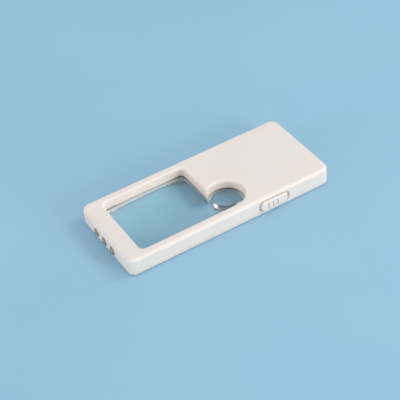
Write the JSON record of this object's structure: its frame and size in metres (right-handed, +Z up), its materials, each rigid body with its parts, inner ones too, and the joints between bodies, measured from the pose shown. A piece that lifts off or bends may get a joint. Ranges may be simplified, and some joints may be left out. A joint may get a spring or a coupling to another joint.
{
  "type": "magnifying glass",
  "caption": "Flat pocket magnifier with a rectangular lens and small strong lens in one moulding, end lamps, side slide switch and coin-cell battery.",
  "frame": {"origin": "middle of the case's underside", "axes": "+X along the length from the lamp end to the battery end, -Y the long side with the slide switch, +Z up through the top face"},
  "size_m": [0.116, 0.0509, 0.01],
  "materials": {
    "case_white": "satin moulded ABS, warm white",
    "lens_acrylic": "polished clear acrylic",
    "led_epoxy": "clear epoxy lamp body",
    "tinned_lead": "tinned steel lead",
    "circuit_board": "solder-masked fibreglass board",
    "black_plastic": "black moulded plastic",
    "sheet_metal": "folded tinned sheet",
    "cell_steel": "nickel-plated coin cell can",
    "spring_metal": "plated phosphor bronze strip",
    "screw_steel": "zinc-plated screw",
    "red_insulation": "PVC wire insulation",
    "black_insulation": "PVC wire insulation"
  },
  "bodies": {
    "housing": {"top_shell": "case_white", "bottom_shell": "case_white", "battery_door": "case_white", "lens": "lens_acrylic", "led_1": "led_epoxy", "led_2": "led_epoxy", "led_3": "led_epoxy", "led_leads_1": "tinned_lead", "led_leads_2": "tinned_lead", "led_leads_3": "tinned_lead", "switch_pins": "tinned_lead", "led_board": "circuit_board", "switch_board": "circuit_board", "resistor": "black_plastic", "switch_base": "black_plastic", "switch_can": "sheet_metal", "coin_cell_outer": "cell_steel", "coin_cell_inner": "cell_steel", "negative_spring": "spring_metal", "positive_contact": "spring_metal", "case_screws": "screw_steel", "door_screw": "screw_steel", "red_wire": "red_insulation", "battery_wire": "red_insulation", "black_wire": "black_insulation"},
    "switch_slider": {"slide_knob": "case_white", "switch_actuator": "black_plastic", "switch_wiper": "spring_metal"}
  },
  "joints": [
    {"name": "switch_slide", "type": "slide", "parent": "housing", "child": "switch_slider", "axis": [1, 0, 0], "range_m": [0, 0.0014]}
  ]
}
